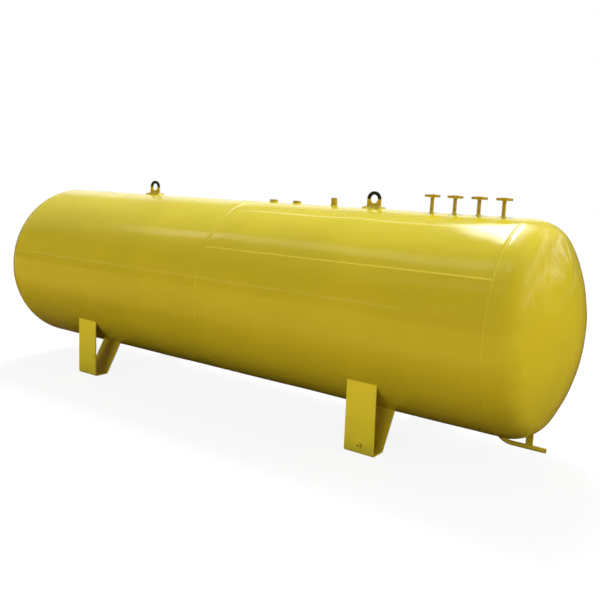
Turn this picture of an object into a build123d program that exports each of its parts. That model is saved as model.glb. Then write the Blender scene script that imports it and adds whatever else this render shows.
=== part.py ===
"""Horizontal gas receiver on four bent-plate legs, in millimetres.

The origin is on the ground under the middle of the vessel. X runs along the vessel,
towards the end with the drain, Y runs across it and Z runs up.
"""

import os
from math import acos, atan2, cos, degrees, radians, sin, sqrt

from build123d import *

# Vessel: two rolled courses, closed by two dished heads.
SHELL_RADIUS = 600.0
SHELL_WALL = 8.0
COURSE_LENGTH = 1892.0
GROUND_CLEARANCE = 163.0
HEAD_STRAIGHT = 8.0
HEAD_DISH_RADIUS = 1052.0
HEAD_KNUCKLE_RADIUS = 190.0
HEAD_WALL = 8.0

# Weld beads: a bevelled groove in the plate edges, filled and capped.
BEAD_WIDTH = 14.0
BEAD_GROOVE = 5.0
BEAD_CAP = 2.2
SEAM_SIZE_SHARE = 0.75
SEAM_RISE_DEG = 30.6

# Legs: one strip of plate each, bent to a U that stands on its web. The web's two edges
# are shares of the shell's radius out from the middle.
LEG_STATION_SHARE = 0.6258
LEG_WIDTH = 191.0
LEG_PLATE = 8.0
LEG_BEND_RADIUS = 14.0
LEG_FOOT_OUT_SHARE = 0.8025
LEG_FOOT_IN_SHARE = 0.615
LEG_OUTER_DROP_DEG = 35.6
LEG_INNER_DROP_DEG = 65.6

# Earthing boss on the outer wall of one leg.
EARTH_RADIUS = 11.0
EARTH_LENGTH = 25.0
EARTH_HOLE_RADIUS = 5.0
EARTH_HOLE_DEPTH = 20.0
EARTH_HEIGHT = 57.0
EARTH_OFF_MIDDLE = 8.0

# Lifting lugs on curved doubling pads, as shares of a course out from the middle.
LUG_STATION_SHARES = {"right": 0.4854, "left": -0.5354}
LUG_PLATE = 12.0
LUG_HALF_WIDTH = 47.5
LUG_EYE_RADIUS = 26.5
LUG_EYE_HEIGHT = 57.0
PAD_LENGTH = 126.0
PAD_WIDTH = 74.0
PAD_PLATE = 10.0
PAD_CORNER_RADIUS = 12.0

# Flanged nozzles along the top of the right course.
NOZZLE_STATION_SHARES = (0.6894, 0.7643, 0.8405, 0.9162)
NOZZLE_STANDOUT = 103.0
NOZZLE_PIPE_RADIUS = 10.65
NOZZLE_PIPE_WALL = 2.0
NOZZLE_PIPE_SETBACK = 3.0
NOZZLE_WELD_LEG = 5.5
FLANGE_RADIUS = 45.0
FLANGE_PLATE = 15.0
FLANGE_FACE_RADIUS = 17.5
FLANGE_FACE_RISE = 2.0
FLANGE_BOLT_CIRCLE_RADIUS = 30.15
FLANGE_BOLT_HOLE_RADIUS = 7.95
FLANGE_BOLT_COUNT = 4

# Threaded sockets along the top of the right course.
LOW_SOCKET_STATION_SHARES = (0.0754, 0.1775)
LOW_SOCKET_RADIUS = 27.3
LOW_SOCKET_BORE_RADIUS = 22.4
LOW_SOCKET_HEIGHT = 17.0
TALL_SOCKET_STATION_SHARE = 0.3314
TALL_SOCKET_RADIUS = 19.75
TALL_SOCKET_BORE_RADIUS = 15.1
TALL_SOCKET_HEIGHT = 50.0

# Drain: a pulled bend of pipe from the bottom of the shell, led out under the right head.
DRAIN_PIPE_RADIUS = 13.45
DRAIN_PIPE_WALL = 2.6
DRAIN_BEND_RADIUS = 115.0
DRAIN_DROP = 51.0
DRAIN_BEFORE_WELD = 97.0
DRAIN_PAST_WELD = 182.0
STRUT_PAST_WELD = 90.0
STRUT_WIDTH = 39.0
STRUT_PLATE = 8.0

# The shell's holes are wider than the bores set over them, by this much in radius.
# On top, the foot of each bore is chamfered out to its hole.
PIPE_HOLE_EASE = 1.0
SOCKET_HOLE_EASE = 2.0
# Cuts and coped ends run this far past the face that they end on.
OVERRUN = 12.0

AXIS_HEIGHT = GROUND_CLEARANCE + SHELL_RADIUS
SHELL_TOP = AXIS_HEIGHT + SHELL_RADIUS
SHELL_BORE_RADIUS = SHELL_RADIUS - SHELL_WALL
HEAD_RIM = COURSE_LENGTH + HEAD_STRAIGHT
VESSEL_AXIS = Axis((0, 0, AXIS_HEIGHT), (1, 0, 0))
ENDS = {"left": -1, "right": 1}
SIDES = {"front": -1, "rear": 1}

os.makedirs("parts", exist_ok=True)


def lengthwise(end=1):
    """Plane through the vessel's axis: local X leads to one end, local Y up."""
    return Plane((0, 0, AXIS_HEIGHT), x_dir=(end, 0, 0), z_dir=(0, -end, 0))


def upright(x):
    """Plane through a vertical line on the vessel's axis, local zero at that axis."""
    return Plane((x, 0, AXIS_HEIGHT), x_dir=(1, 0, 0), z_dir=(0, -1, 0))


def across(x, side=1):
    """Upright plane across the vessel: local X leads to one side, zero on the ground."""
    return Plane((x, 0, 0), x_dir=(0, side, 0), z_dir=(side, 0, 0))


def seam_plane(x, side):
    """Plane across the vessel whose local Y leads from the axis to the seam."""
    rise = radians(SEAM_RISE_DEG)
    along_shell = (0, sin(rise), -side * cos(rise))
    return Plane((x, 0, AXIS_HEIGHT), x_dir=along_shell, z_dir=(1, 0, 0))


def save(piece, name):
    """Labels one finished piece and writes it under its own name."""
    piece.part.label = name
    export_step(piece.part, f"parts/{name}.step")


def station(share):
    """Place along the vessel, from a share of one course."""
    return share * COURSE_LENGTH


def girth_bead(x):
    """Ring of weld that fills the bevelled edges of two courses and stands proud."""
    half = BEAD_WIDTH / 2
    with BuildPart() as bead:
        with BuildSketch(upright(x)):
            with BuildLine():
                Polyline((-half, SHELL_RADIUS), (0, SHELL_RADIUS - BEAD_GROOVE), (half, SHELL_RADIUS))
                ThreePointArc((half, SHELL_RADIUS), (0, SHELL_RADIUS + BEAD_CAP), (-half, SHELL_RADIUS))
            make_face()
        revolve(axis=VESSEL_AXIS)
    return bead


def seam_bead(end, side, neighbours):
    """Straight weld along one course, ending against the ring welds beside it."""
    half = BEAD_WIDTH * SEAM_SIZE_SHARE / 2
    root = SHELL_RADIUS - BEAD_GROOVE * SEAM_SIZE_SHARE
    crest = SHELL_RADIUS + BEAD_CAP * SEAM_SIZE_SHARE
    rim = sqrt(SHELL_RADIUS**2 - half**2)
    with BuildPart() as bead:
        with BuildSketch(seam_plane(0, side)):
            with BuildLine():
                Polyline((-half, rim), (0, root), (half, rim))
                ThreePointArc((half, rim), (0, crest), (-half, rim))
            make_face()
        extrude(amount=end * COURSE_LENGTH)
        for ring in neighbours:
            add(ring.part, mode=Mode.SUBTRACT)
    return bead


def shell_course(end, side, top_holes, bottom_holes):
    """Rolled plate with bevelled ends, a grooved seam and holes for what is set on it."""
    half = BEAD_WIDTH / 2
    seam_half = BEAD_WIDTH * SEAM_SIZE_SHARE / 2
    seam_root = SHELL_RADIUS - BEAD_GROOVE * SEAM_SIZE_SHARE
    seam_rise = sqrt(SHELL_RADIUS**2 - seam_half**2) - seam_root
    with BuildPart() as course:
        with BuildSketch(lengthwise(end)):
            with BuildLine():
                Polyline(
                    (0, SHELL_BORE_RADIUS),
                    (COURSE_LENGTH, SHELL_BORE_RADIUS),
                    (COURSE_LENGTH, SHELL_RADIUS - BEAD_GROOVE),
                    (COURSE_LENGTH - half, SHELL_RADIUS),
                    (half, SHELL_RADIUS),
                    (0, SHELL_RADIUS - BEAD_GROOVE),
                    close=True,
                )
            make_face()
        revolve(axis=VESSEL_AXIS)
        with BuildSketch(seam_plane(0, side)):
            with BuildLine():
                Polyline(
                    (-2 * seam_half, seam_root + 2 * seam_rise),
                    (0, seam_root),
                    (2 * seam_half, seam_root + 2 * seam_rise),
                    close=True,
                )
            make_face()
        extrude(amount=end * COURSE_LENGTH, mode=Mode.SUBTRACT)
        for x, hole_radius in top_holes:
            with Locations(Plane((x, 0, SHELL_TOP))):
                Hole(hole_radius, depth=SHELL_WALL + OVERRUN)
        for x, hole_radius in bottom_holes:
            with Locations(Plane((x, 0, GROUND_CLEARANCE), z_dir=(0, 0, -1))):
                Hole(hole_radius, depth=SHELL_WALL + OVERRUN)
    return course


def head_arcs(inset):
    """Knuckle and dish of a head, from its rim to its crown, inset from the outside.

    The two arcs meet on the line through both of their centres, so they are tangent.
    """
    knuckle_height = SHELL_RADIUS - HEAD_KNUCKLE_RADIUS
    dish_offset = sqrt((HEAD_DISH_RADIUS - HEAD_KNUCKLE_RADIUS) ** 2 - knuckle_height**2)
    meeting = degrees(atan2(knuckle_height, dish_offset))
    knuckle_centre = (HEAD_RIM, knuckle_height)
    dish_centre = (HEAD_RIM - dish_offset, 0)
    CenterArc(knuckle_centre, HEAD_KNUCKLE_RADIUS - inset, start_angle=meeting, arc_size=90 - meeting)
    CenterArc(dish_centre, HEAD_DISH_RADIUS - inset, start_angle=0, arc_size=meeting)
    return HEAD_RIM - dish_offset + HEAD_DISH_RADIUS - inset


def dished_head(end):
    """Pressed end of two radii with a short straight rim, bevelled for its weld."""
    bore = SHELL_RADIUS - HEAD_WALL
    with BuildPart() as head:
        with BuildSketch(lengthwise(end)):
            with BuildLine():
                crown = head_arcs(0)
                inner_crown = head_arcs(HEAD_WALL)
                Line((crown, 0), (inner_crown, 0))
                Polyline(
                    (HEAD_RIM, bore),
                    (COURSE_LENGTH, bore),
                    (COURSE_LENGTH, SHELL_RADIUS - BEAD_GROOVE),
                    (COURSE_LENGTH + BEAD_WIDTH / 2, SHELL_RADIUS),
                    (HEAD_RIM, SHELL_RADIUS),
                )
            make_face()
        revolve(axis=VESSEL_AXIS)
    return head


def vessel_outside():
    """Solid form of the whole outside, which trims every piece that is set on it."""
    with BuildPart() as outside:
        with BuildSketch(lengthwise()):
            with BuildLine():
                crown = head_arcs(0)
                Polyline((crown, 0), (0, 0), (0, SHELL_RADIUS), (HEAD_RIM, SHELL_RADIUS))
            make_face()
        revolve(axis=VESSEL_AXIS)
        mirror(about=Plane.YZ)
    return outside


def leg_outline():
    """Corners of a leg's U in outward and upward distance, outer wall first.

    Each wall aims at its own line on the shell and runs on into it, to be trimmed there.
    """
    outer = radians(LEG_OUTER_DROP_DEG)
    inner = radians(LEG_INNER_DROP_DEG)
    foot_out = Vector(LEG_FOOT_OUT_SHARE * SHELL_RADIUS, 0)
    foot_in = Vector(LEG_FOOT_IN_SHARE * SHELL_RADIUS, 0)
    outer_top = Vector(SHELL_RADIUS * cos(outer), AXIS_HEIGHT - SHELL_RADIUS * sin(outer))
    inner_top = Vector(SHELL_RADIUS * cos(inner), AXIS_HEIGHT - SHELL_RADIUS * sin(inner))
    run_on = LEG_PLATE + OVERRUN
    outer_end = outer_top + (outer_top - foot_out).normalized() * run_on
    inner_end = inner_top + (inner_top - foot_in).normalized() * run_on
    return outer_end, foot_out, foot_in, inner_end


def leg(x, side, outside):
    """One strip of plate bent to a U, with both of its walls coped to the shell."""
    with BuildPart() as strip:
        with BuildSketch(across(x - side * LEG_WIDTH / 2, side)):
            with BuildLine():
                FilletPolyline(*leg_outline(), radius=LEG_BEND_RADIUS)
                offset(amount=LEG_PLATE, side=Side.RIGHT)
            make_face()
        extrude(amount=LEG_WIDTH)
        add(outside.part, mode=Mode.SUBTRACT)
    return strip


def earthing_boss(x, side):
    """Round boss square to the leg's outer wall, with a blind threaded hole."""
    outer_end, foot_out, _, _ = leg_outline()
    wall = (outer_end - foot_out).normalized()
    seat = foot_out + wall * (EARTH_HEIGHT / wall.Y)
    face = Plane((x, side * seat.X, seat.Y), x_dir=(1, 0, 0), z_dir=(0, side * wall.Y, -wall.X))
    with BuildPart() as boss:
        with BuildSketch(face):
            Circle(EARTH_RADIUS)
        extrude(amount=EARTH_LENGTH)
        with Locations(face.offset(EARTH_LENGTH)):
            Hole(EARTH_HOLE_RADIUS, depth=EARTH_HOLE_DEPTH)
    return boss


def lug_pad(x):
    """Doubling plate rolled to the shell, with rounded corners."""
    with BuildPart() as pad:
        with BuildSketch(Plane.YZ.offset(x - PAD_LENGTH / 2)):
            with Locations((0, AXIS_HEIGHT)):
                Circle(SHELL_RADIUS + PAD_PLATE)
                Circle(SHELL_RADIUS, mode=Mode.SUBTRACT)
        extrude(amount=PAD_LENGTH)
        with BuildSketch(Plane((x, 0, AXIS_HEIGHT))):
            RectangleRounded(PAD_LENGTH, PAD_WIDTH, PAD_CORNER_RADIUS)
        extrude(amount=SHELL_RADIUS + PAD_PLATE + OVERRUN, mode=Mode.INTERSECT)
    return pad


def lifting_lug(x):
    """Upright plate with a round head about its eye, coped to the pad."""
    seat_radius = SHELL_RADIUS + PAD_PLATE
    eye = SHELL_RADIUS + LUG_EYE_HEIGHT
    with BuildPart() as lug:
        with BuildSketch(upright(x)):
            with BuildLine():
                Polyline(
                    (-LUG_HALF_WIDTH, eye),
                    (-LUG_HALF_WIDTH, seat_radius - OVERRUN),
                    (LUG_HALF_WIDTH, seat_radius - OVERRUN),
                    (LUG_HALF_WIDTH, eye),
                )
                RadiusArc((LUG_HALF_WIDTH, eye), (-LUG_HALF_WIDTH, eye), -LUG_HALF_WIDTH)
            make_face()
            with Locations((0, eye)):
                Circle(LUG_EYE_RADIUS, mode=Mode.SUBTRACT)
        extrude(amount=LUG_PLATE / 2, both=True)
        with BuildSketch(Plane.YZ.offset(x - LUG_HALF_WIDTH)):
            with Locations((0, AXIS_HEIGHT)):
                Circle(seat_radius)
        extrude(amount=2 * LUG_HALF_WIDTH, mode=Mode.SUBTRACT)
    return lug


def nozzle_pipe(x, outside):
    """Short pipe set on the shell, with its fillet weld as a flare at the foot."""
    bore = NOZZLE_PIPE_RADIUS - NOZZLE_PIPE_WALL
    mouth = bore + PIPE_HOLE_EASE
    flare = NOZZLE_PIPE_RADIUS + NOZZLE_WELD_LEG
    rim = SHELL_RADIUS + NOZZLE_STANDOUT - NOZZLE_PIPE_SETBACK
    with BuildPart() as pipe:
        with BuildSketch(upright(x)):
            with BuildLine():
                Polyline(
                    (mouth, SHELL_RADIUS - OVERRUN),
                    (flare, SHELL_RADIUS - OVERRUN),
                    (flare, SHELL_RADIUS),
                    (NOZZLE_PIPE_RADIUS, SHELL_RADIUS + NOZZLE_WELD_LEG),
                    (NOZZLE_PIPE_RADIUS, rim),
                    (bore, rim),
                    (bore, SHELL_RADIUS + PIPE_HOLE_EASE),
                    (mouth, SHELL_RADIUS),
                    close=True,
                )
            make_face()
        revolve(axis=Axis((x, 0, 0), (0, 0, 1)))
        add(outside.part, mode=Mode.SUBTRACT)
    return pipe


def nozzle_flange(x):
    """Plate flange with a raised face, its bolt holes astride the centre lines."""
    underside = SHELL_TOP + NOZZLE_STANDOUT - FLANGE_FACE_RISE - FLANGE_PLATE
    with BuildPart() as flange:
        with BuildSketch(Plane((x, 0, underside))):
            Circle(FLANGE_RADIUS)
            Circle(NOZZLE_PIPE_RADIUS, mode=Mode.SUBTRACT)
            with PolarLocations(
                FLANGE_BOLT_CIRCLE_RADIUS, FLANGE_BOLT_COUNT, start_angle=180 / FLANGE_BOLT_COUNT
            ):
                Circle(FLANGE_BOLT_HOLE_RADIUS, mode=Mode.SUBTRACT)
        extrude(amount=FLANGE_PLATE)
        with BuildSketch(Plane((x, 0, underside + FLANGE_PLATE))):
            Circle(FLANGE_FACE_RADIUS)
            Circle(NOZZLE_PIPE_RADIUS, mode=Mode.SUBTRACT)
        extrude(amount=FLANGE_FACE_RISE)
    return flange


def socket(x, radius, bore_radius, height, outside):
    """Threaded socket set on the top of the shell and coped to its round."""
    mouth = bore_radius + SOCKET_HOLE_EASE
    rim = SHELL_RADIUS + height
    with BuildPart() as ring:
        with BuildSketch(upright(x)):
            with BuildLine():
                Polyline(
                    (mouth, SHELL_RADIUS - OVERRUN),
                    (radius, SHELL_RADIUS - OVERRUN),
                    (radius, rim),
                    (bore_radius, rim),
                    (bore_radius, SHELL_RADIUS + SOCKET_HOLE_EASE),
                    (mouth, SHELL_RADIUS),
                    close=True,
                )
            make_face()
        revolve(axis=Axis((x, 0, 0), (0, 0, 1)))
        add(outside.part, mode=Mode.SUBTRACT)
    return ring


def drain_pipe(outside):
    """Pipe that leaves the shell part way round a bend and runs out under the head.

    The bend is drawn whole, from upright to level, and what lies in the vessel is trimmed.
    """
    part_bend = acos(1 - DRAIN_DROP / DRAIN_BEND_RADIUS)
    x = COURSE_LENGTH - DRAIN_BEFORE_WELD - DRAIN_BEND_RADIUS * (1 - sin(part_bend))
    level = GROUND_CLEARANCE - DRAIN_DROP
    start = Plane((x, 0, level + DRAIN_BEND_RADIUS + OVERRUN), z_dir=(0, 0, -1))
    with BuildPart() as pipe:
        with BuildLine(Plane.XZ):
            FilletPolyline(
                (x, level + DRAIN_BEND_RADIUS + OVERRUN),
                (x, level),
                (COURSE_LENGTH + DRAIN_PAST_WELD, level),
                radius=DRAIN_BEND_RADIUS,
            )
        with BuildSketch(start):
            Circle(DRAIN_PIPE_RADIUS)
            Circle(DRAIN_PIPE_RADIUS - DRAIN_PIPE_WALL, mode=Mode.SUBTRACT)
        sweep()
        add(outside.part, mode=Mode.SUBTRACT)
    return pipe


def drain_strut(outside):
    """Flat plate between the head and the drain, coped to both."""
    x = COURSE_LENGTH + STRUT_PAST_WELD
    pipe_height = GROUND_CLEARANCE - DRAIN_DROP
    with BuildPart() as strut:
        with BuildSketch(Plane((x, 0, pipe_height))):
            Rectangle(STRUT_WIDTH, STRUT_PLATE)
        extrude(amount=SHELL_RADIUS)
        add(outside.part, mode=Mode.SUBTRACT)
        with BuildSketch(Plane.YZ.offset(x - STRUT_WIDTH / 2)):
            with Locations((0, pipe_height)):
                Circle(DRAIN_PIPE_RADIUS)
        extrude(amount=STRUT_WIDTH, mode=Mode.SUBTRACT)
    return strut


# The vessel: courses, heads and the welds that join them.
nozzle_hole = NOZZLE_PIPE_RADIUS - NOZZLE_PIPE_WALL + PIPE_HOLE_EASE
low_hole = LOW_SOCKET_BORE_RADIUS + SOCKET_HOLE_EASE
tall_hole = TALL_SOCKET_BORE_RADIUS + SOCKET_HOLE_EASE
drain_hole = DRAIN_PIPE_RADIUS - DRAIN_PIPE_WALL + PIPE_HOLE_EASE
holes_on_top = [(station(share), nozzle_hole) for share in NOZZLE_STATION_SHARES]
holes_on_top += [(station(share), low_hole) for share in LOW_SOCKET_STATION_SHARES]
holes_on_top += [(station(TALL_SOCKET_STATION_SHARE), tall_hole)]
holes_below = [(COURSE_LENGTH - DRAIN_BEFORE_WELD, drain_hole)]

outside_form = vessel_outside()
centre_ring = girth_bead(0)
save(centre_ring, "girth_weld_centre")
for end_name, end_sign in ENDS.items():
    # The two seams lie on opposite sides, so that they never meet at the middle weld.
    seam_side = -end_sign
    on_right = end_sign > 0
    head_ring = girth_bead(end_sign * COURSE_LENGTH)
    save(head_ring, f"girth_weld_{end_name}_head")
    save(dished_head(end_sign), f"head_{end_name}")
    save(
        shell_course(
            end_sign, seam_side, holes_on_top if on_right else [], holes_below if on_right else []
        ),
        f"shell_course_{end_name}",
    )
    save(seam_bead(end_sign, seam_side, (centre_ring, head_ring)), f"seam_weld_{end_name}")

# The legs, one pair under each course, and the earthing boss on the front right one.
for end_name, end_sign in ENDS.items():
    for side_name, side_sign in SIDES.items():
        leg_x = end_sign * station(LEG_STATION_SHARE)
        save(leg(leg_x, side_sign, outside_form), f"leg_{side_name}_{end_name}")
boss_x = station(LEG_STATION_SHARE) + EARTH_OFF_MIDDLE
save(earthing_boss(boss_x, SIDES["front"]), "earthing_boss")

# Lifting points.
for end_name, share in LUG_STATION_SHARES.items():
    save(lug_pad(station(share)), f"lug_pad_{end_name}")
    save(lifting_lug(station(share)), f"lifting_lug_{end_name}")

# Connections on top and the drain below.
for number, share in enumerate(NOZZLE_STATION_SHARES, start=1):
    save(nozzle_pipe(station(share), outside_form), f"nozzle_pipe_{number}")
    save(nozzle_flange(station(share)), f"nozzle_flange_{number}")
for number, share in enumerate(LOW_SOCKET_STATION_SHARES, start=1):
    low_socket = socket(
        station(share), LOW_SOCKET_RADIUS, LOW_SOCKET_BORE_RADIUS, LOW_SOCKET_HEIGHT, outside_form
    )
    save(low_socket, f"low_socket_{number}")
tall_socket = socket(
    station(TALL_SOCKET_STATION_SHARE),
    TALL_SOCKET_RADIUS,
    TALL_SOCKET_BORE_RADIUS,
    TALL_SOCKET_HEIGHT,
    outside_form,
)
save(tall_socket, "tall_socket")
save(drain_pipe(outside_form), "drain_pipe")
save(drain_strut(outside_form), "drain_strut")
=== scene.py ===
# %% [markdown]
# # A gas receiver in yellow enamel
# This lesson dresses a welded gas receiver: two rolled plate courses between two
# dished heads, standing on four bent-plate legs. The construction comes from a packed
# CAD frame, which is loaded first and never moved. Blender adds what the frame leaves
# plain: the slight waves of rolled plate, rippled weld beads, eased edges and paint.

# %% Load the frame
import math

import bpy
import numpy as np
from mathutils import Matrix, Vector


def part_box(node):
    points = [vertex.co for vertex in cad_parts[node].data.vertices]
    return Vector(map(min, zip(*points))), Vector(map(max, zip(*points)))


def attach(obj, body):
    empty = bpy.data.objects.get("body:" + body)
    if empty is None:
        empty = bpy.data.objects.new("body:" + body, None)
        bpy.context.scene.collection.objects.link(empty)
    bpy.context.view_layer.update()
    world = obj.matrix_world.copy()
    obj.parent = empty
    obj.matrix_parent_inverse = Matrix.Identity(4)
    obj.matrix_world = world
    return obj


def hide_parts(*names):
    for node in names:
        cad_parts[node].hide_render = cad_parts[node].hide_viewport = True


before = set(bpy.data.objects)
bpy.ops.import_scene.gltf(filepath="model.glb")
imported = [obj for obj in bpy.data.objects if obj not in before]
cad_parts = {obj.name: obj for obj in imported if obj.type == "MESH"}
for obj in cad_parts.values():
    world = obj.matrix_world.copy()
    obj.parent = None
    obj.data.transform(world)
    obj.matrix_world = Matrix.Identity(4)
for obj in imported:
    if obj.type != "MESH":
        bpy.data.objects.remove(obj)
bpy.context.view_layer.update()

scene = bpy.context.scene
scene.view_settings.view_transform = "Standard"

# %% [markdown]
# ## The sizes that everything follows
# The vessel is a cylinder, so three sizes place nearly all of it: its radius, the height
# of its axis and the length of one course. They are read from the frame's own boxes,
# which is safer than typing them again. Lengths here are metres, with MM for small ones.

# %% Read the vessel's sizes
MM = 0.001
course_low, course_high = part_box("shell_course_right")
RADIUS = round((course_high.y - course_low.y) / 2, 3)
AXIS_Z = round((course_high.z + course_low.z) / 2, 3)
COURSE = round(course_high.x, 3)
PLATE = 8 * MM
print(f"radius {RADIUS}, axis height {AXIS_Z}, course {COURSE}")

# %% [markdown]
# ## The camera
# The photograph was taken from the drain end, a little above the axis, with the camera
# slightly rolled. The camera was found by lining up welds, feet and fittings with the
# frame, so it is written as a place, three angles and a lens. The picture was cropped
# after it was taken, off its middle, and the small lens shift gives the same framing.

# %% Place the camera
CAMERA_SPOT = Vector((3.0864, -3.8377, 1.4619))
CAMERA_YAW = -0.61492
CAMERA_PITCH = -0.11667
CAMERA_ROLL = 0.04875
CAMERA_LENS_MM = 42.571
CAMERA_SHIFT = (0.0022, -0.0472)

ahead = Vector((
    math.cos(CAMERA_PITCH) * math.sin(CAMERA_YAW),
    math.cos(CAMERA_PITCH) * math.cos(CAMERA_YAW),
    math.sin(CAMERA_PITCH),
))
level_right = Vector((math.cos(CAMERA_YAW), -math.sin(CAMERA_YAW), 0))
level_up = level_right.cross(ahead)
rolled_right = level_right * math.cos(CAMERA_ROLL) + level_up * math.sin(CAMERA_ROLL)
rolled_up = level_up * math.cos(CAMERA_ROLL) - level_right * math.sin(CAMERA_ROLL)
camera_data = bpy.data.cameras.new("photo_camera")
camera_data.lens = CAMERA_LENS_MM
camera_data.shift_x, camera_data.shift_y = CAMERA_SHIFT
camera = bpy.data.objects.new("photo_camera", camera_data)
camera.matrix_world = Matrix.Translation(CAMERA_SPOT) @ Matrix(
    (rolled_right, rolled_up, -ahead)
).transposed().to_4x4()
scene.collection.objects.link(camera)
scene.camera = camera
print("camera at", tuple(round(c, 3) for c in CAMERA_SPOT), "lens", CAMERA_LENS_MM)

# %% [markdown]
# ## Node helpers
# A material is a small graph. These helpers keep the graphs readable: `add_node` makes a
# node and sets its sockets by name, or by number as i0 and i1, where a value may be a
# number or another node's output. The rest are short names for the nodes that are used
# most, and `new_group` opens a node group with named inputs and outputs.

# %% Define the node helpers
def add_node(tree, kind, settings=None, **sockets):
    """Makes a node, sets its own settings, then sets or links its inputs by name."""
    node = tree.nodes.new(kind)
    for name, value in (settings or {}).items():
        setattr(node, name, value)
    for name, value in sockets.items():
        by_number = name[0] == "i" and name[1:].isdigit()
        socket = node.inputs[int(name[1:]) if by_number else name.replace("_", " ")]
        if isinstance(value, bpy.types.NodeSocket):
            tree.links.new(value, socket)
        else:
            socket.default_value = value
    return node


def calc(tree, operation, first, second=0.0):
    """One Math node, as a value."""
    return add_node(tree, "ShaderNodeMath", {"operation": operation}, i0=first, i1=second).outputs[0]


def vector_calc(tree, operation, first, second=(0.0, 0.0, 0.0)):
    """One Vector Math node, as a vector, or as a value for a length or a dot product."""
    node = add_node(tree, "ShaderNodeVectorMath", {"operation": operation}, i0=first, i1=second)
    return node.outputs["Value" if operation in ("LENGTH", "DOT_PRODUCT") else "Vector"]


def frame_place(tree):
    """Where a point is in the frame's own coordinates, in metres."""
    return add_node(tree, "ShaderNodeTexCoord").outputs["Object"]


def part_of(tree, vector, axis):
    """The X, Y or Z of a vector."""
    return add_node(tree, "ShaderNodeSeparateXYZ", Vector=vector).outputs[axis]


def stretch(tree, place, scale):
    """Coordinates scaled by one number for each axis."""
    return add_node(tree, "ShaderNodeMapping", Vector=place, Scale=scale).outputs["Vector"]


def remap(tree, value, low, high, to_low=0.0, to_high=1.0):
    """A smooth step from low to high, as a value."""
    node = add_node(
        tree, "ShaderNodeMapRange", {"interpolation_type": "SMOOTHSTEP"},
        Value=value, From_Min=low, From_Max=high, To_Min=to_low, To_Max=to_high,
    )
    return node.outputs["Result"]


def blend_colours(tree, factor, first, second):
    """A colour between two colours, each given as three numbers or as a socket."""
    node = add_node(tree, "ShaderNodeMix", {"data_type": "RGBA"}, i0=factor)
    for slot, colour in ((6, first), (7, second)):
        if isinstance(colour, bpy.types.NodeSocket):
            tree.links.new(colour, node.inputs[slot])
        else:
            node.inputs[slot].default_value = (*colour, 1.0)
    return node.outputs[2]


def noise(tree, place, scale, detail=2.0, roughness=0.5):
    """Plain noise about one half, at so many features to the metre."""
    node = add_node(
        tree, "ShaderNodeTexNoise", Vector=place, Scale=scale, Detail=detail, Roughness=roughness
    )
    return node.outputs["Fac"]


def new_group(name, inputs, outputs):
    """An empty shader group with named value sockets, and its two end nodes."""
    group = bpy.data.node_groups.new(name, "ShaderNodeTree")
    for socket_name, value in inputs.items():
        socket = group.interface.new_socket(socket_name, in_out="INPUT", socket_type="NodeSocketFloat")
        socket.default_value = value
    for socket_name in outputs:
        group.interface.new_socket(socket_name, in_out="OUTPUT", socket_type="NodeSocketFloat")
    return group, group.nodes.new("NodeGroupInput"), group.nodes.new("NodeGroupOutput")


print("node helpers ready")

# %% [markdown]
# ## The paint film
# Sprayed enamel is never flat. It dries with orange peel a few millimetres across, its
# gloss drifts over a hand's width, and the passes of the gun leave slow clouds of tone.
# Every painted piece shares these three effects, so they are one node group that puts
# out a tone, a roughness and a height, all from the frame's own coordinates in metres.

# %% Build the paint film group
NOISE_SPAN = (0.3, 0.7)
PASS_STRETCH = (0.35, 2.4, 2.4)
CLOUD_SHARE = 0.6
DRIFT_SCALE = 9.0


def build_paint_film():
    group, inputs, outputs = new_group(
        "paint_film",
        {"Cloud Scale": 1.6, "Gloss Low": 0.1, "Gloss High": 0.2, "Peel Scale": 260.0},
        ("Tone", "Roughness", "Peel"),
    )
    place = frame_place(group)
    clouds = noise(group, place, inputs.outputs["Cloud Scale"], detail=3.0)
    passes = noise(group, stretch(group, place, PASS_STRETCH), inputs.outputs["Cloud Scale"])
    tone = calc(
        group, "ADD",
        calc(group, "MULTIPLY", clouds, CLOUD_SHARE),
        calc(group, "MULTIPLY", passes, 1 - CLOUD_SHARE),
    )
    drift = noise(group, place, DRIFT_SCALE, detail=3.0)
    gloss = add_node(
        group, "ShaderNodeMapRange", Value=drift, From_Min=NOISE_SPAN[0], From_Max=NOISE_SPAN[1],
        To_Min=inputs.outputs["Gloss Low"], To_Max=inputs.outputs["Gloss High"],
    ).outputs["Result"]
    peel = noise(group, place, inputs.outputs["Peel Scale"], detail=1.0)
    group.links.new(tone, outputs.inputs["Tone"])
    group.links.new(gloss, outputs.inputs["Roughness"])
    group.links.new(peel, outputs.inputs["Peel"])
    return group


paint_film = build_paint_film()
print("group", paint_film.name, "with", len(paint_film.nodes), "nodes")

# %% [markdown]
# ## Dust and splash
# Even a new vessel stands in a yard. Dust settles on what faces up, and rain throws a
# brown film on whatever is within a hand of the ground. Both are masks, so that each
# material can decide how much of them it shows.

# %% Build the yard dust group
SETTLES = (0.55, 1.0)
DUST_SPAN = (0.12, 0.4)
PATCH_SCALE = 5.0
SPLASH_WANDER = 0.06


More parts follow.
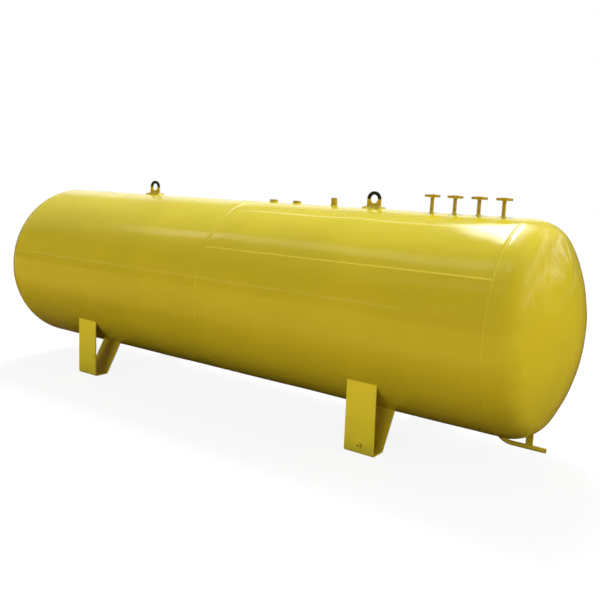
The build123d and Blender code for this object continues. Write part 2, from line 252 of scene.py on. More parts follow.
def build_yard_dust():
    group, inputs, outputs = new_group(
        "yard_dust", {"Splash Height": 0.09, "Grain": 45.0}, ("Dust", "Splash")
    )
    place = frame_place(group)
    normal = add_node(group, "ShaderNodeNewGeometry").outputs["Normal"]
    settled = remap(group, part_of(group, normal, "Z"), *SETTLES)
    grain = noise(group, place, inputs.outputs["Grain"], detail=5.0, roughness=0.65)
    patches = noise(group, place, PATCH_SCALE, detail=4.0)
    specks = remap(group, calc(group, "MULTIPLY", grain, patches), *DUST_SPAN)
    dust = calc(group, "MULTIPLY", settled, specks)
    wander = calc(group, "MULTIPLY", calc(group, "SUBTRACT", grain, 0.5), SPLASH_WANDER)
    height = calc(group, "ADD", part_of(group, place, "Z"), wander)
    splash = remap(group, calc(group, "DIVIDE", height, inputs.outputs["Splash Height"]), 1.0, 0.0)
    group.links.new(dust, outputs.inputs["Dust"])
    group.links.new(splash, outputs.inputs["Splash"])
    return group


yard_dust = build_yard_dust()
print("group", yard_dust.name, "with", len(yard_dust.nodes), "nodes")

# %% [markdown]
# ## The enamel
# One function makes each yellow: the shell's mirror coat, the slightly rougher coat over
# the welds, and the brushed coat on the legs and small fittings. The shell's colour is
# written as it should look in plain light, and gloss comes from the shader's own reflection.
# The other yellows carry painted light: the legs are painted lighter for the light they
# catch, the drain, fittings and lugs darker as painted shade, and the seam paler as a
# painted highlight. The ring welds carry a painted glint: they are paler than the plate on
# their upper half only, so their coat changes with height.

# %% Make the yellow enamels
SHELL_YELLOW = (0.66, 0.540, 0.026)
# Painted light: the legs' yellow is painted lighter than the shell's to stand for the extra light they
# catch.
LIT_LEG_YELLOW = (0.97, 0.79, 0.045)
# Painted shade: the drain's yellow is darker for the shade it lies in under the vessel.
SHADED_DRAIN_YELLOW = (0.60, 0.45, 0.02)
# Painted shade: the fittings' yellow is darker for the shade on their sides.
SHADED_FITTING_YELLOW = (0.46, 0.315, 0.012)
WELD_YELLOW = (0.715, 0.59, 0.032)
# Painted highlight: the seam's yellow is paler for the highlight along it.
SEAM_SHEEN_YELLOW = (0.80, 0.68, 0.05)
DUST_COLOUR = (0.60, 0.53, 0.30)
SPLASH_COLOUR = (0.20, 0.145, 0.05)
DEEPER_SHARE = 0.88
# Painted glint: heights over which the ring welds turn from the plate's yellow to a paler one.
GLINT_HEIGHTS = (0.5, 0.85)
PLAIN_PEEL = 0.05 * MM
SHELL_PEEL = 0.012 * MM
BRUSHED_GLOSS = (0.25, 0.38)
LEG_SPLASH = 0.18


def enamel(
    name, colour, gloss, peel_height=PLAIN_PEEL, dust_share=0.12, splash_share=0.4, below=None
):
    """Yellow enamel with drifting tone and gloss, orange peel, dust and splash, and a painted glint that
    pales its upper part when a colour below is given.
    """
    material = bpy.data.materials.new(name)
    material.use_nodes = True
    tree = material.node_tree
    shader = tree.nodes["Principled BSDF"]
    film = add_node(
        tree, "ShaderNodeGroup", {"node_tree": paint_film}, Gloss_Low=gloss[0], Gloss_High=gloss[1]
    )
    yard = add_node(tree, "ShaderNodeGroup", {"node_tree": yard_dust})
    deeper = tuple(c * DEEPER_SHARE for c in colour)
    coat = blend_colours(tree, remap(tree, film.outputs["Tone"], *NOISE_SPAN), deeper, colour)
    # Painted glint: above these heights the coat is paler than the colour below.
    if below:
        height = part_of(tree, frame_place(tree), "Z")
        coat = blend_colours(tree, remap(tree, height, *GLINT_HEIGHTS), below, coat)
    dust = calc(tree, "MULTIPLY", yard.outputs["Dust"], dust_share)
    splash = calc(tree, "MULTIPLY", yard.outputs["Splash"], splash_share)
    coat = blend_colours(tree, dust, coat, DUST_COLOUR)
    coat = blend_colours(tree, splash, coat, SPLASH_COLOUR)
    tree.links.new(coat, shader.inputs["Base Color"])
    tree.links.new(calc(tree, "ADD", film.outputs["Roughness"], dust), shader.inputs["Roughness"])
    bump = add_node(
        tree, "ShaderNodeBump", Strength=1.0, Distance=peel_height, Height=film.outputs["Peel"]
    )
    tree.links.new(bump.outputs["Normal"], shader.inputs["Normal"])
    return material


shell_enamel = enamel("shell_enamel", SHELL_YELLOW, (0.04, 0.08), SHELL_PEEL, dust_share=0.04)
head_enamel = enamel("head_enamel", SHELL_YELLOW, (0.035, 0.07), SHELL_PEEL)
weld_enamel = enamel("weld_enamel", WELD_YELLOW, (0.12, 0.2))
seam_sheen_enamel = enamel("seam_sheen_enamel", SEAM_SHEEN_YELLOW, (0.14, 0.24))
girth_glint_enamel = enamel("girth_glint_enamel", WELD_YELLOW, (0.1, 0.16), below=SHELL_YELLOW)
lit_leg_enamel = enamel("lit_leg_enamel", LIT_LEG_YELLOW, BRUSHED_GLOSS, splash_share=LEG_SPLASH)
shaded_drain_enamel = enamel("shaded_drain_enamel", SHADED_DRAIN_YELLOW, BRUSHED_GLOSS, splash_share=LEG_SPLASH)
shaded_fitting_enamel = enamel("shaded_fitting_enamel", SHADED_FITTING_YELLOW, (0.22, 0.36))
print("enamels:", [m.name for m in bpy.data.materials if m.name.endswith("_enamel")])

# %% [markdown]
# ## One builder for shells, rings and beads
# A rolled course, a pressed head and a bead of weld look unlike each other, but each is
# a row of rings joined one to the next: rings about the axis for the plate, and small
# rings along a path for a bead. So one builder makes them all. A row either loops back
# to its start or is closed by a fan at each end, which gives solid meshes with no holes.

# %% Define the ring builder
SHARP_ANGLE = math.radians(38)


def join_rings(rings, looped):
    """Points and faces of a closed skin over rings given as (ring, point, xyz)."""
    rings = np.asarray(rings, float)
    count, size, _ = rings.shape
    points = rings.reshape(-1, 3)
    steps, spots = np.meshgrid(
        np.arange(count if looped else count - 1), np.arange(size), indexing="ij"
    )
    after, beside = (steps + 1) % count, (spots + 1) % size
    quads = np.stack(
        [steps * size + spots, steps * size + beside, after * size + beside, after * size + spots], -1
    ).reshape(-1, 4)
    faces = quads.tolist()
    if not looped:
        hubs = np.stack([rings[0].mean(0), rings[-1].mean(0)])
        first_hub, last_hub, last = len(points), len(points) + 1, (count - 1) * size
        points = np.vstack([points, hubs])
        for spot in range(size):
            following = (spot + 1) % size
            faces.append([following, spot, first_hub])
            faces.append([last + spot, last + following, last_hub])
    corners = points[quads]
    across = np.cross(corners[:, 2] - corners[:, 0], corners[:, 3] - corners[:, 1])
    if np.einsum("ij,ij->", corners.mean(1) - points.mean(0), across) < 0:
        faces = [face[::-1] for face in faces]
    return points, faces


def smooth_mesh(mesh):
    """Smooth shading that keeps real corners sharp."""
    mesh.shade_smooth()
    mesh.set_sharp_from_angle(angle=SHARP_ANGLE)


def new_object(name, parts):
    """An object in the scene, from one or more (points, faces) parts."""
    points, faces = [], []
    for part_points, part_faces in parts:
        faces.extend([corner + len(points) for corner in face] for face in part_faces)
        points.extend(map(tuple, part_points))
    mesh = bpy.data.meshes.new(name)
    mesh.from_pydata(points, [], faces)
    made = bpy.data.objects.new(name, mesh)
    scene.collection.objects.link(made)
    return made


def new_piece(name, parts, material, replaced=()):
    """One piece of the vessel, painted and riding on it."""
    piece = new_object(name, parts)
    piece.data.materials.append(material)
    smooth_mesh(piece.data)
    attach(piece, "root")
    if replaced:
        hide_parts(*replaced)
    print("piece", name, len(piece.data.polygons), "faces")
    return piece


print("ring builder ready")

# %% [markdown]
# ## How rolled plate departs from a true cylinder
# On mirror paint the eye reads form from bent reflections, and welded plate bends them
# in known ways. A girth weld shrinks and draws the plate in. The plate's last few
# centimetres never roll fully, so it lies flat in a shallow valley along its seam. And
# the rolls leave long waves. All stay within a few millimetres of the frame's cylinder.
# One function gives this departure, so that plate and weld beads follow the same form.

# %% Define the plate's form
SEAM_ANGLE = math.radians(90 - 30.6)
DRAW_DEPTH = 1.1 * MM
DRAW_REACH = 42 * MM
VALLEY_DEPTH = 3.2 * MM
VALLEY_REACH = 150 * MM
VALLEY_END = 1.25
VALLEY_FADE = 0.1
VALLEY_POWER = 1.5
ROLL_WAVES = (
    (0.45 * MM, 0.93, 2, 0.4),
    (0.35 * MM, 0.58, 5, 1.9),
    (0.22 * MM, 0.37, 3, 3.1),
)


def plate_form(x, angle, end):
    """Outward departure at x along and an angle from the top towards the front."""
    form = np.zeros(np.broadcast(x, angle).shape)
    for weld in (0.0, end * COURSE):
        form = form - DRAW_DEPTH * np.exp(-(((x - weld) / DRAW_REACH) ** 2))
    turn = np.angle(np.exp(1j * (angle - end * SEAM_ANGLE)))
    flat = np.clip(1 - RADIUS * np.abs(turn) / VALLEY_REACH, 0, None) ** VALLEY_POWER
    form = form - VALLEY_DEPTH * flat / (1 + np.exp((np.abs(x) - VALLEY_END) / VALLEY_FADE))
    for depth, length, turns, phase in ROLL_WAVES:
        form = form + depth * np.sin(math.tau * x / length + turns * angle + phase + end)
    return form


def around_axis(x, angle, radius):
    """Points at x along, an angle from the top towards the front, and a radius."""
    x, angle, radius = np.broadcast_arrays(x, angle, radius)
    return np.stack([x, -radius * np.sin(angle), AXIS_Z + radius * np.cos(angle)], -1)


print("plate form: valley", VALLEY_DEPTH, "draw", DRAW_DEPTH)

# %% [markdown]
# ## The two courses
# Each course is a closed tube of 8 mm plate. The outside carries the plate's form on a
# fine grid, the inside can be plain, and both ends are bevelled for the weld. The right
# course has holes under its fittings, which a Boolean cuts, so that one can look down a
# socket into the dark vessel.

# %% Roll the courses
AROUND = 288
ALONG_STEP = 12 * MM
BEVEL_HALF = 7 * MM
BEVEL_DEPTH = 5 * MM
ENDS = {"left": -1, "right": 1}
turns_round = np.linspace(0, math.tau, AROUND, endpoint=False)


def course_rings(end):
    """Rings about the axis over the outside, the end bevels and the plain bore."""
    stations = np.linspace(BEVEL_HALF, COURSE - BEVEL_HALF, round(COURSE / ALONG_STEP))
    rings = [
        around_axis(end * x, turns_round, RADIUS + plate_form(end * x, turns_round, end))
        for x in stations
    ]
    for x, depth in ((COURSE, BEVEL_DEPTH), (COURSE, PLATE), (0.0, PLATE), (0.0, BEVEL_DEPTH)):
        rings.append(around_axis(end * x, turns_round, RADIUS - depth))
    return rings


courses = {}
for end_name, end in ENDS.items():
    skin = join_rings(course_rings(end), looped=True)
    courses[end_name] = new_piece(
        f"rolled_{end_name}_course", [skin], shell_enamel, [f"shell_course_{end_name}"]
    )

# %% Cut the holes under the fittings
HOLE_SIDES = 48
HOLE_REACH = 60 * MM
NOZZLE_NUMBERS = range(1, 5)
FITTING_HOLES = {
    **{f"nozzle_pipe_{number}": 9.65 * MM for number in NOZZLE_NUMBERS},
    "low_socket_1": 24.4 * MM,
    "low_socket_2": 24.4 * MM,
    "tall_socket": 17.1 * MM,
}
DRAIN_X = COURSE - 97 * MM
DRAIN_HOLE = 11.85 * MM


def middle(node):
    """The middle of a CAD node's box."""
    low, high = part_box(node)
    return (low + high) / 2


def upright_rod(x, z, radius):
    """A round rod through the plate at x, as a part."""
    turn = np.linspace(0, math.tau, HOLE_SIDES, endpoint=False)
    circle = np.stack([x + radius * np.cos(turn), radius * np.sin(turn), np.zeros(HOLE_SIDES)], -1)
    ends = [circle + (0, 0, z - HOLE_REACH), circle + (0, 0, z + HOLE_REACH)]
    return join_rings(ends, looped=False)


def cut_with(piece, parts):
    """Cuts closed parts out of a piece and keeps the result as its mesh."""
    cutter = new_object("hole_cutter", parts)
    boolean = piece.modifiers.new("holes", "BOOLEAN")
    boolean.object = cutter
    boolean.operation = "DIFFERENCE"
    boolean.solver = "EXACT"
    evaluated = piece.evaluated_get(bpy.context.evaluated_depsgraph_get())
    cut = bpy.data.meshes.new_from_object(evaluated)
    piece.modifiers.clear()
    piece.data = cut
    bpy.data.objects.remove(cutter)
    smooth_mesh(cut)
    print(piece.name, "cut, now", len(cut.polygons), "faces")


rods = [
    upright_rod(middle(node).x, AXIS_Z + RADIUS, radius) for node, radius in FITTING_HOLES.items()
]
rods.append(upright_rod(DRAIN_X, AXIS_Z - RADIUS, DRAIN_HOLE))
cut_with(courses["right"], rods)

# %% [markdown]
# ## The two heads
# A dished head is a flat disc pressed in many strokes: a tight knuckle round the rim,
# then a wide dish, with a short straight rim to weld to. The strokes leave shallow
# dimples, which is why a head's reflections waver far more than a course's. The section
# is two tangent arcs, spun about the axis with those dimples added.

# %% Press the heads
HEAD_RIM = COURSE + 8 * MM
KNUCKLE = 190 * MM
DISH = 1052 * MM
KNUCKLE_STEPS = 34
DISH_STEPS = 40
INSIDE_EVERY = 4
CROWN_FADE = 1.6
RIM_FADE = 12
DISH_SET = math.sqrt((DISH - KNUCKLE) ** 2 - (RADIUS - KNUCKLE) ** 2)
MEETING = math.atan2(RADIUS - KNUCKLE, DISH_SET)
DIMPLES = (
    (0.55 * MM, 7, 9.0, 0.3),
    (0.45 * MM, 11, -14.0, 2.2),
    (0.30 * MM, 5, 23.0, 4.0),
)


def head_section(inset):
    """Rows of (x, radius, outward x, outward radius) from the rim to near the crown."""
    rows = [(x, RADIUS - inset, 0.0, 1.0) for x in (COURSE + BEVEL_HALF, HEAD_RIM)]
    arcs = (
        (HEAD_RIM, RADIUS - KNUCKLE, KNUCKLE - inset, np.linspace(math.pi / 2, MEETING, KNUCKLE_STEPS)[1:]),
        (HEAD_RIM - DISH_SET, 0.0, DISH - inset, np.linspace(MEETING, 0, DISH_STEPS)[1:-1]),
    )
    for hub_x, hub_radius, reach, leans in arcs:
        for lean in leans:
            out_x, out_radius = math.cos(lean), math.sin(lean)
            rows.append((hub_x + reach * out_x, hub_radius + reach * out_radius, out_x, out_radius))
    return rows


def dimple(radius, angle, end):
    """Outward departure of pressed plate, fading at the rim and the crown."""
    share = radius / RADIUS
    form = sum(
        depth * np.sin(turns * angle + spiral * share + phase + end)
        for depth, turns, spiral, phase in DIMPLES
    )
    return form * np.clip(share * CROWN_FADE, 0, 1) * np.clip((1 - share) * RIM_FADE, 0, 1)


def head_rings(end):
    """Rings from the outer crown to the rim, round the bevel and back along the inside."""
    outside = []
    for x, radius, out_x, out_r in head_section(0):
        form = dimple(radius, turns_round, end)
        outside.append(around_axis(end * (x + out_x * form), turns_round, radius + out_r * form))
    inside = [
        around_axis(end * x, turns_round, radius)
        for x, radius, _, _ in head_section(PLATE)[::INSIDE_EVERY]
    ]
    rim = [around_axis(end * COURSE, turns_round, RADIUS - depth) for depth in (BEVEL_DEPTH, PLATE)]
    return outside[::-1] + rim + inside


for end_name, end in ENDS.items():
    skin = join_rings(head_rings(end), looped=False)
    new_piece(f"pressed_{end_name}_head", [skin], head_enamel, [f"head_{end_name}"])

# %% [markdown]
# ## Butt welds
# A machine lays these beads: a low even cap with fine ripples that bow back along the
# run. A round bump texture would vanish on the outline, so the ripple is in the mesh: a
# small ring is carried along the path, and its cap rises and falls every few
# millimetres. Path and cap follow the plate's form, so the bead sits in its valley.

# %% Lay the girth and seam welds
RIPPLE_PITCH = 6.5 * MM
RIPPLE_SHARE = 0.1
RIPPLE_STEPS = 4
CAP_POINTS = 9
BEAD_HALF = 7 * MM
BEAD_CAP = 1.7 * MM
BEAD_ROOT = 3.0 * MM
BEAD_SINK = 0.2 * MM
SEAM_SHARE = 0.75


def bead_rings(centres, outward, sideways, half, cap, run):
    """Rings of a low bead along a path, with ripples that bow back from the middle."""
    spread = np.linspace(-1, 1, CAP_POINTS)
    phase = (run[:, None] - half * (1 - spread**2)) / RIPPLE_PITCH
    ripple = 1 + RIPPLE_SHARE * np.sin(math.tau * phase)
    rise = cap * (1 - spread**2) * ripple - BEAD_SINK
    aside = sideways[:, None] * (half * spread)[None, :, None]
    top = centres[:, None] + aside + outward[:, None] * rise[..., None]
    root = (centres - outward * BEAD_ROOT)[:, None]
    return np.concatenate([top, root], 1)


def girth_weld(name, x, plate_end, node):
    """A ring of bead about the axis at x."""
    count = round(math.tau * RADIUS / RIPPLE_PITCH) * RIPPLE_STEPS
    angle = np.linspace(0, math.tau, count, endpoint=False)
    radius = RADIUS + plate_form(np.full(count, x), angle, plate_end)
    outward = np.stack([np.zeros(count), -np.sin(angle), np.cos(angle)], -1)
    sideways = np.tile((1.0, 0.0, 0.0), (count, 1))
    centres = around_axis(x, angle, radius)
    rings = bead_rings(centres, outward, sideways, BEAD_HALF, BEAD_CAP, angle * RADIUS)
    new_piece(name, [join_rings(rings, looped=True)], girth_glint_enamel, [node])


def seam_weld(name, end, node):
    """A straight bead along one course, on its seam."""
    count = round(COURSE / RIPPLE_PITCH) * RIPPLE_STEPS
    x = end * np.linspace(BEVEL_HALF, COURSE - BEVEL_HALF, count)
    angle = np.full(count, end * SEAM_ANGLE)
    outward = np.stack([np.zeros(count), -np.sin(angle), np.cos(angle)], -1)
    sideways = np.stack([np.zeros(count), np.cos(angle), np.sin(angle)], -1)
    centres = around_axis(x, angle, RADIUS + plate_form(x, angle, end))
    half, cap = BEAD_HALF * SEAM_SHARE, BEAD_CAP * SEAM_SHARE
    rings = bead_rings(centres, outward, sideways, half, cap, np.abs(x))
    new_piece(name, [join_rings(rings, looped=False)], seam_sheen_enamel, [node])


girth_weld("rippled_centre_weld", 0.0, 1, "girth_weld_centre")
for end_name, end in ENDS.items():
    girth_weld(f"rippled_{end_name}_head_weld", end * COURSE, end, f"girth_weld_{end_name}_head")
    seam_weld(f"rippled_{end_name}_seam_weld", end, f"seam_weld_{end_name}")

# %% [markdown]
# ## Fillet welds
# Everything set on the vessel is welded round its foot with a fillet: a three-cornered
# bead lying in the corner between two faces. A foot's outline is a rounded rectangle,
# and a round pipe is only a rectangle that is all corner, so one function gives every
# outline. A second lays it on a round surface or on a flat one, and a third runs the
# bead along it, bulging and rippled like hand welding.

# %% Define the fillet welds
FILLET_POINTS = 7
FILLET_BULGE = 0.16
FILLET_RIPPLE = 0.12
FILLET_ROOT = 0.3
FILLET_LAG = 0.5
LOOP_STEP = 1.7 * MM
CORNER_STEPS = 7


def foot_outline(half_u, half_v, corner=0.0):
    """A rounded rectangle as rows of (u, v, outward u, outward v)."""
    rows = []
    for quarter, (sign_u, sign_v) in enumerate(((1, 1), (-1, 1), (-1, -1), (1, -1))):
        hub_u, hub_v = sign_u * (half_u - corner), sign_v * (half_v - corner)
        bend_steps = max(CORNER_STEPS, round(corner * math.pi / 2 / LOOP_STEP))
        for turn in quarter * math.pi / 2 + np.linspace(0, math.pi / 2, bend_steps):
            out_u, out_v = math.cos(turn), math.sin(turn)
            rows.append((hub_u + corner * out_u, hub_v + corner * out_v, out_u, out_v))
        straight = 2 * (half_u if quarter % 2 == 0 else half_v) - 2 * corner
        travel = (-out_v, out_u)
        last_u, last_v = rows[-1][:2]
        steps = round(straight / LOOP_STEP)
        for share in np.arange(1, steps) / max(steps, 1):
            run = straight * share
            rows.append((last_u + travel[0] * run, last_v + travel[1] * run, out_u, out_v))
    return np.array(rows)


def on_round(x, angle, radius=RADIUS, axis_z=AXIS_Z, end=None):
    """Lays an outline on a cylinder along X, or on the plate's true form at one end."""
    def place(u, v):
        turn = angle + v / radius
        form = 0.0 if end is None else plate_form(x + u, turn, end)
        points = around_axis(x + u, turn, radius + form) + (0, 0, axis_z - AXIS_Z)
        along_u = np.tile((1.0, 0.0, 0.0), (len(u), 1))
        along_v = np.stack([np.zeros(len(u)), -np.cos(turn), -np.sin(turn)], -1)
        return points, along_u, along_v
    return place


def on_flat(origin, along_u, along_v):
    """Lays an outline on a plane."""
    def place(u, v):
        points = np.add(origin, np.outer(u, along_u) + np.outer(v, along_v))
        return points, np.tile(along_u, (len(u), 1)), np.tile(along_v, (len(u), 1))
    return place


def fillet_weld(outline, place, wall, leg, inward=False):
    """The closed skin of a bead that lies between a surface and the wall rising from it."""
    u, v, out_u, out_v = outline.T
    seat, along_u, along_v = place(u, v)
    base = along_u * out_u[:, None] + along_v * out_v[:, None]
    if inward:
        base = -base
    if wall is None:
        wall = np.cross(along_v, along_u)
    wall = np.broadcast_to(wall, base.shape)
    run = np.concatenate([[0], np.cumsum(np.linalg.norm(np.diff(seat, axis=0), axis=1))])
    halving = base + wall
    halving = halving / np.linalg.norm(halving, axis=1, keepdims=True)
    rounds = max(1, round(run[-1] / RIPPLE_PITCH))
    share = np.linspace(0, 1, FILLET_POINTS)
    arch = 4 * share * (1 - share)
    phase = run[:, None] / max(run[-1], MM) * rounds - arch * FILLET_LAG
    swell = arch * (FILLET_BULGE + FILLET_RIPPLE * np.sin(math.tau * phase))
    cap = (
        seat[:, None]
        + base[:, None] * (leg * (1 - share))[None, :, None]
        + wall[:, None] * (leg * share)[None, :, None]
        + halving[:, None] * (leg * swell)[..., None]
    )
    root = (seat - halving * leg * FILLET_ROOT)[:, None]
    return join_rings(np.concatenate([cap, root], 1), looped=True)


print("fillet welds ready")

# %% [markdown]
# ## Welds round the top fittings
# The nozzles, sockets and lug pads all stand along the top line of the shell. The bead's
# leg follows the thickness of what it holds: small on the pipes, larger on the pads and
# lugs, which take the weight of the whole vessel when it is lifted.

# %% Weld the top fittings
TOP = 0.0
UP = (0.0, 0.0, 1.0)
DOWN = (0.0, 0.0, -1.0)
NOZZLE_RADIUS = 10.65 * MM
NOZZLE_LEG = 6.4 * MM
SOCKET_LEG = 6.0 * MM
PAD_LEG = 6.5 * MM
LUG_LEG = 7.0 * MM
PAD_CORNER = 12 * MM
UNDER_FLANGE_LEG = 3.5 * MM
RIM_LEG = 1.9 * MM


def half_size(node):
    """Half the size of a CAD node's box."""
    low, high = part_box(node)
    return (high - low) / 2


top_beads = []
for number in NOZZLE_NUMBERS:
    pipe, flange = f"nozzle_pipe_{number}", f"nozzle_flange_{number}"
    x = middle(flange).x
    ring = foot_outline(NOZZLE_RADIUS, NOZZLE_RADIUS, NOZZLE_RADIUS)
    under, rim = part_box(flange)[0].z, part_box(pipe)[1].z
    under_place = on_flat((x, 0, under), (1, 0, 0), (0, 1, 0))
    rim_place = on_flat((x, 0, rim), (1, 0, 0), (0, 1, 0))
    top_beads.append(fillet_weld(ring, on_round(x, TOP, end=1), UP, NOZZLE_LEG))
    top_beads.append(fillet_weld(ring, under_place, DOWN, UNDER_FLANGE_LEG))
    top_beads.append(fillet_weld(ring, rim_place, UP, RIM_LEG, inward=True))
for node in ("low_socket_1", "low_socket_2", "tall_socket"):
    radius = half_size(node).x
    ring = foot_outline(radius, radius, radius)
    top_beads.append(fillet_weld(ring, on_round(middle(node).x, TOP, end=1), UP, SOCKET_LEG))
new_piece("fillet_welds_top", top_beads, weld_enamel)

for end_name, end in ENDS.items():
    pad, lug = half_size(f"lug_pad_{end_name}"), half_size(f"lifting_lug_{end_name}")
    x = middle(f"lug_pad_{end_name}").x
    pad_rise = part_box(f"lug_pad_{end_name}")[1].z - AXIS_Z
    pad_foot = foot_outline(pad.x, pad.y, PAD_CORNER)
    pad_bead = fillet_weld(pad_foot, on_round(x, TOP, end=end), None, PAD_LEG)
    lug_bead = fillet_weld(foot_outline(lug.x, lug.y), on_round(x, TOP, pad_rise), UP, LUG_LEG)
    new_piece(f"fillet_welds_lug_{end_name}", [pad_bead, lug_bead], weld_enamel)

# %% [markdown]
# ## Welds round the legs and the drain
# Each leg is one bent strip, so two walls of it meet the shell, and each is welded all
# round. The outer wall meets the shell at a flat angle, where the bead spreads thin, and
# the inner one almost square. The drain leaves the shell at a slant, part way round its
# bend, so its bead runs round an oval. Its strut has small beads of its own.

# %% Weld the legs and the drain
LEG_PLATE = 8 * MM
FOOT_OUT = 0.4815
FOOT_IN = 0.369
OUTER_DROP = math.radians(35.6)
INNER_DROP = math.radians(65.6)
LEG_LEG = 3.0 * MM
BOSS_HEIGHT = 57 * MM
BOSS_RADIUS = 11 * MM
BOSS_LEG = 2.0 * MM
DRAIN_RADIUS = 13.45 * MM
DRAIN_OVAL = 16.2 * MM
DRAIN_LEAVES = (0.5565, 0.0, -0.8308)
DRAIN_LEG = 4.0 * MM
STRUT_LEG = 4.0 * MM


def leg_wall(foot, drop):
    """Across and up parts of a leg wall's direction, from its foot to the shell."""
    across, up = RADIUS * math.cos(drop) - foot, AXIS_Z - RADIUS * math.sin(drop)
    length = math.hypot(across, up)
    return across / length, up / length


def wall_bead(x, side, end, foot, drop, inner):
    """The bead round the end of one leg wall, on the shell."""
    across, up = leg_wall(foot, drop)
    slant = abs(up * math.sin(drop) - across * math.cos(drop))
    arc = LEG_PLATE / slant
    centre_drop = drop + (-0.5 if inner else 0.5) * arc / RADIUS
    place = on_round(x, -side * (math.pi / 2 + centre_drop), end=end)
    outline = foot_outline(leg_half, arc / 2)
    return fillet_weld(outline, place, (0, -side * across, -up), LEG_LEG)


leg_half = half_size("leg_front_right").x
for end_name, end in ENDS.items():
    for side_name, side in (("front", -1), ("rear", 1)):
        x = middle(f"leg_{side_name}_{end_name}").x
        beads = [
            wall_bead(x, side, end, FOOT_OUT, OUTER_DROP, inner=False),
            wall_bead(x, side, end, FOOT_IN, INNER_DROP, inner=True),
        ]
        new_piece(f"fillet_welds_leg_{side_name}_{end_name}", beads, lit_leg_enamel)

across, up = leg_wall(FOOT_OUT, OUTER_DROP)
boss_seat = (middle("earthing_boss").x, -(FOOT_OUT + across * BOSS_HEIGHT / up), BOSS_HEIGHT)
boss_ring = foot_outline(BOSS_RADIUS, BOSS_RADIUS, BOSS_RADIUS)
boss_bead = fillet_weld(
    boss_ring, on_flat(boss_seat, (1, 0, 0), (0, -across, up)), (0, -up, -across), BOSS_LEG
)


def under_head(u, v):
    """Lays an outline on the underside of the right head's knuckle, below the axis."""
    along = strut_x + u - HEAD_RIM
    reach = np.sqrt(KNUCKLE**2 - along**2)
    radius = RADIUS - KNUCKLE + reach
    points = np.stack([HEAD_RIM + along, v, AXIS_Z - np.sqrt(radius**2 - v**2)], -1)
    along_u = np.stack([reach, np.zeros(len(u)), along], -1) / KNUCKLE
    return points, along_u, np.tile((0.0, 1.0, 0.0), (len(u), 1))


strut = half_size("drain_strut")
strut_x = middle("drain_strut").x
strut_foot = foot_outline(strut.x, strut.y)
drain_foot = foot_outline(DRAIN_OVAL, DRAIN_RADIUS, DRAIN_RADIUS)
drain_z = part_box("drain_pipe")[0].z + DRAIN_RADIUS
drain_beads = [
    boss_bead,
    fillet_weld(drain_foot, on_round(DRAIN_X, math.pi, end=1), DRAIN_LEAVES, DRAIN_LEG),
    fillet_weld(strut_foot, under_head, DOWN, STRUT_LEG),
    fillet_weld(strut_foot, on_round(strut_x, TOP, DRAIN_RADIUS, drain_z), UP, STRUT_LEG),
]
new_piece("fillet_welds_low", drain_beads, shaded_drain_enamel)

# %% [markdown]
# ## The lugs' black tops
# The upper half of each lifting lug is brushed black over the yellow, to mark where the
# hook goes. The edge is a hand's line, so a little noise moves it up and down. Both
# colours are in one material, split by height. The yellow is painted darker than the
# shell's, as painted shade on the lug's sides.

# %% Paint the lugs
BLACK_PAINT = (0.006, 0.006, 0.007)
WORN_BLACK = tuple(c * 2.4 for c in BLACK_PAINT)
# Painted shade: the lug's yellow is darker than the shell's.
SHADED_LUG_YELLOW = (0.53, 0.375, 0.012)
EYE_RISE = 57 * MM
EDGE_GRAIN = 60.0
EDGE_WANDER = 5 * MM
EDGE_SOFTNESS = 1.5 * MM
STREAK_STRETCH = (6.0, 40.0, 140.0)
STREAK_SPAN = (0.35, 0.7)


def paint_over(material, colour, mask):
    """Lays a second colour over an enamel's own, where the mask is one."""
    tree = material.node_tree
    base = tree.nodes["Principled BSDF"].inputs["Base Color"]
    tree.links.new(blend_colours(tree, mask, base.links[0].from_socket, colour), base)


lug_enamel = enamel("lug_enamel", SHADED_LUG_YELLOW, (0.26, 0.4))
tree = lug_enamel.node_tree
place = frame_place(tree)
wander = calc(tree, "SUBTRACT", noise(tree, place, EDGE_GRAIN, detail=3.0), 0.5)
height = calc(tree, "ADD", part_of(tree, place, "Z"), calc(tree, "MULTIPLY", wander, EDGE_WANDER))
edge = AXIS_Z + RADIUS + EYE_RISE
above = remap(tree, height, edge - EDGE_SOFTNESS, edge + EDGE_SOFTNESS)
streaks = noise(tree, stretch(tree, place, STREAK_STRETCH), 1.0, detail=3.0)
black = blend_colours(tree, remap(tree, streaks, *STREAK_SPAN), BLACK_PAINT, WORN_BLACK)
paint_over(lug_enamel, black, above)
print("lug paint changes at", round(edge, 3))

# %% [markdown]
# ## The earthing boss's hole
# The hole in the boss takes a cable's bolt, so it was plugged when the leg was sprayed and
# its thread is bare steel. It is painted near black, darker than bare steel, as painted
# shade down the hole. A point's distance from the boss's axis tells the paint where the
# hole is.

# %% Leave the hole bare and paint its shade
THREAD_AND_HOLE_SHADE = (0.018, 0.015, 0.012)
HOLE_RADIUS = 5 * MM
RIM_SHARE = 1.1
BOSS_SPLASH = 0.1
boss_enamel = enamel("boss_enamel", LIT_LEG_YELLOW, BRUSHED_GLOSS, splash_share=BOSS_SPLASH)
tree = boss_enamel.node_tree
from_seat = vector_calc(tree, "SUBTRACT", frame_place(tree), boss_seat)
off_axis = vector_calc(tree, "CROSS_PRODUCT", from_seat, (0, -up, -across))
# Painted shade: inside the hole's radius the colour turns near black.
bare = remap(tree, vector_calc(tree, "LENGTH", off_axis), HOLE_RADIUS * RIM_SHARE, HOLE_RADIUS)
paint_over(boss_enamel, THREAD_AND_HOLE_SHADE, bare)
print("boss hole at", tuple(round(c, 3) for c in boss_seat))

# %% [markdown]
# ## Finishing the plate pieces
# The legs, pads, lugs, flanges, sockets and pipes keep their CAD form. Cut plate has
# edges eased by grinding and thickened by paint, and it is that thin bright line along
# an edge which makes it look real, so each gets a small bevel and smooth normals.

